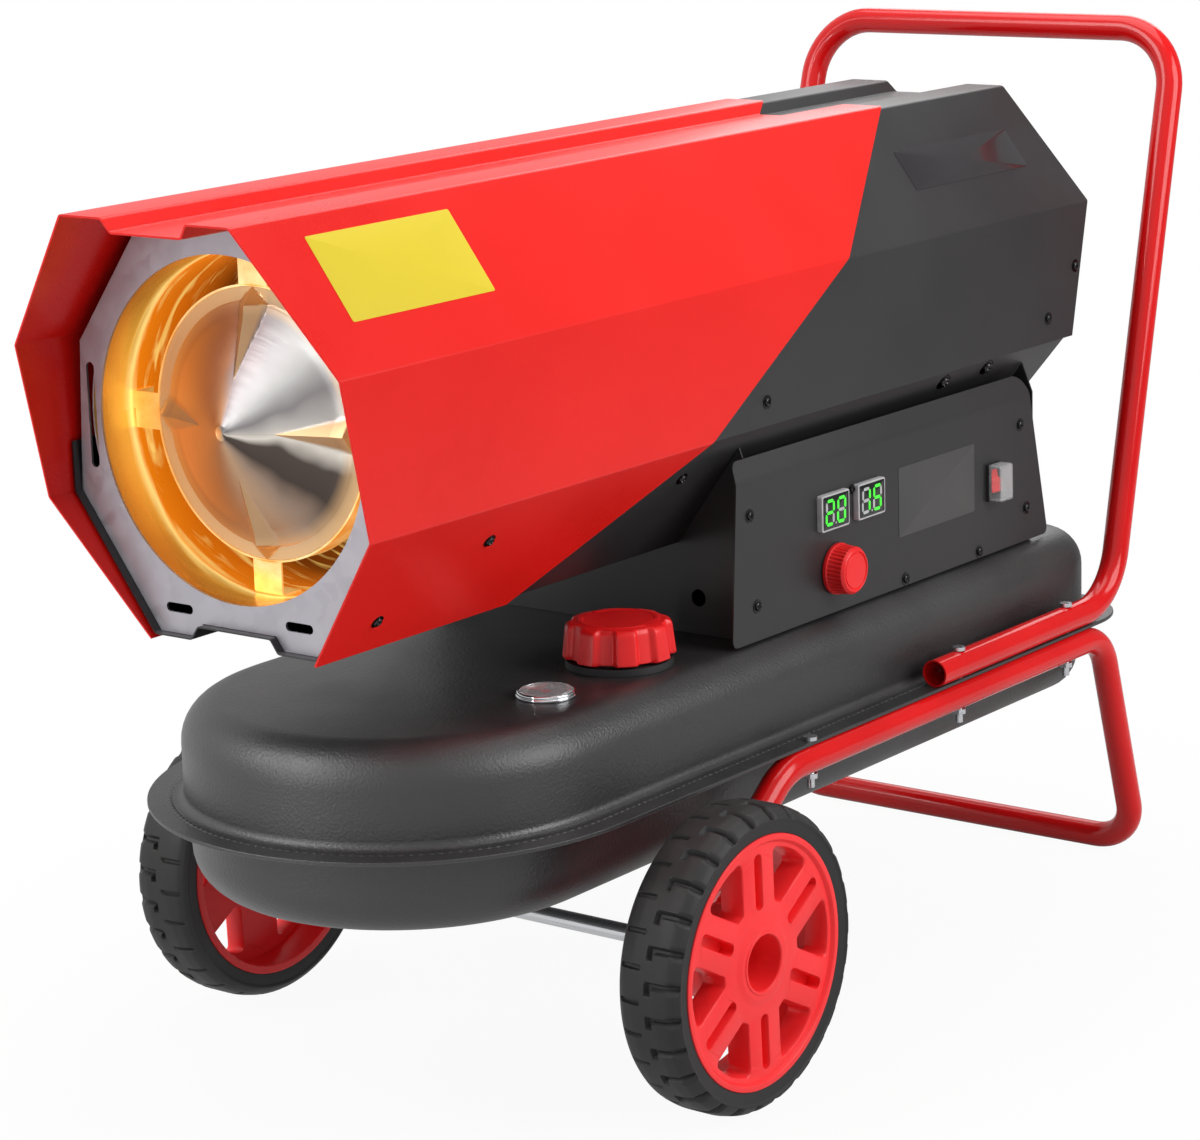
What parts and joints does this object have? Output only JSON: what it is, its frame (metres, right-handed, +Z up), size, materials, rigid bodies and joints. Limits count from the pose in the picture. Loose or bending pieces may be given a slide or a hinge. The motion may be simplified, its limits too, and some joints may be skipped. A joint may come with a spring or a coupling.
{
  "type": "diesel forced-air heater",
  "caption": "Wheeled diesel forced-air heater: eight-sided burner body with a flared hood over a fuel tank, tubular frame, push handle, control panel, filler cap and rubber-tyred wheels.",
  "frame": {"origin": "on the floor, at the middle of the heater's length and width", "axes": "+X across, towards the control panel's side; +Y back from the hot-air outlet to the handle; +Z up"},
  "size_m": [0.542, 1.1181, 0.7507],
  "materials": {
    "red_paint": "gloss powder coat",
    "black_paint": "satin powder coat",
    "black_tank": "fine textured powder coat",
    "galvanised": "spangled zinc",
    "hot_steel": "heat tinted",
    "bright_steel": "polished",
    "plain_steel": "ground",
    "zinc": "zinc plated",
    "dark_steel": "bare",
    "brass": "drawn",
    "copper_tone": "drawn tube",
    "ceramic": "glazed",
    "motor_grey": "satin",
    "cast_aluminium": "die cast",
    "carbon": "matt",
    "black_plastic": "moulded",
    "circuit_green": "lacquered",
    "red_plastic": "moulded gloss",
    "hub_plastic": "moulded satin",
    "clear_plastic": "clear",
    "gauge_rim": "polished",
    "rubber": "matt",
    "tyre": "moulded rubber",
    "dark_screws": "black oxide"
  },
  "bodies": {
    "heater": {"front_cover": "red_paint", "frame_tube": "red_paint", "handle_tube": "red_paint", "rear_cover": "black_paint", "lower_casing": "black_paint", "pedestal": "black_paint", "control_panel": "black_paint", "far_panel": "black_paint", "motor_cradle": "black_paint", "chamber_saddles": "black_paint", "tank_upper": "black_tank", "tank_lower": "black_tank", "outlet_plate": "galvanised", "heat_shield": "galvanised", "shield_spacers": "galvanised", "combustion_chamber": "hot_steel", "cone_ring": "hot_steel", "flame_cone": "bright_steel", "wheel_axle": "plain_steel", "fuel_pickup": "plain_steel", "axle_fittings": "zinc", "frame_bolts": "zinc", "burner_head": "dark_steel", "fuel_nozzle": "brass", "filler_strainer": "brass", "fuel_line": "copper_tone", "ignition_electrodes": "ceramic", "fan_motor": "motor_grey", "ignition_transformer": "motor_grey", "pump_housing": "cast_aluminium", "pump_cover": "black_plastic", "intake_guard": "black_plastic", "flame_sensor": "black_plastic", "display_left": "black_plastic", "display_right": "black_plastic", "thermostat_body": "black_plastic", "switch_body": "black_plastic", "cord_gland": "black_plastic", "filler_neck": "black_plastic", "control_board": "circuit_green", "switch_cover": "clear_plastic", "gauge_lens": "clear_plastic", "gauge_body": "gauge_rim", "air_line": "rubber", "casing_screws": "dark_screws", "panel_screws": "dark_screws"},
    "right_wheel": {"hub_right": "hub_plastic", "tyre_right": "tyre"},
    "left_wheel": {"hub_left": "hub_plastic", "tyre_left": "tyre"},
    "fan_rotor": {"motor_shaft": "plain_steel", "fan_blade": "dark_steel", "pump_rotor": "carbon"},
    "cap_seal": {"cap_gasket": "rubber"},
    "cap": {"fuel_cap": "red_plastic"},
    "knob": {"thermostat_knob": "red_plastic", "thermostat_shaft": "plain_steel"},
    "rocker": {"switch_rocker": "red_plastic"},
    "float": {"float_arm": "brass"},
    "needle": {"gauge_needle": "red_plastic"}
  },
  "joints": [
    {"name": "right_wheel_spin", "type": "hinge", "parent": "heater", "child": "right_wheel", "pos_m": [0.243, -0.224, 0.118], "axis": [1, 0, 0], "continuous": true},
    {"name": "left_wheel_spin", "type": "hinge", "parent": "heater", "child": "left_wheel", "pos_m": [-0.243, -0.224, 0.118], "axis": [1, 0, 0], "continuous": true},
    {"name": "fan_spin", "type": "hinge", "parent": "heater", "child": "fan_rotor", "pos_m": [0, 0.206, 0.54], "axis": [0, 1, 0], "continuous": true},
    {"name": "cap_rise", "type": "slide", "parent": "heater", "child": "cap_seal", "axis": [0, 0, 1], "range_m": [0, 0.009]},
    {"name": "cap_turn", "type": "hinge", "parent": "cap_seal", "child": "cap", "pos_m": [0.098, -0.168, 0.33], "axis": [0, 0, 1], "range_deg": [0, 540]},
    {"name": "knob_turn", "type": "hinge", "parent": "heater", "child": "knob", "pos_m": [0.152, 0.052, 0.349], "axis": [1, 0, 0], "range_deg": [0, 280]},
    {"name": "switch_rock", "type": "hinge", "parent": "heater", "child": "rocker", "pos_m": [0.149, 0.293, 0.376], "axis": [0, 1, 0], "range_deg": [0, 18]},
    {"name": "float_swing", "type": "hinge", "parent": "heater", "child": "float", "pos_m": [0.107, -0.271, 0.26], "axis": [0, 1, 0], "range_deg": [0, 60]},
    {"name": "needle_turn", "type": "hinge", "parent": "heater", "child": "needle", "pos_m": [0.107, -0.271, 0.316], "axis": [0, 0, 1], "range_deg": [0, 90]}
  ],
  "couplings": [
    {"joint": "cap_rise", "follows": "cap_turn", "m_per_rad": 0.00095493},
    {"joint": "needle_turn", "follows": "float_swing", "ratio": 1.5}
  ]
}
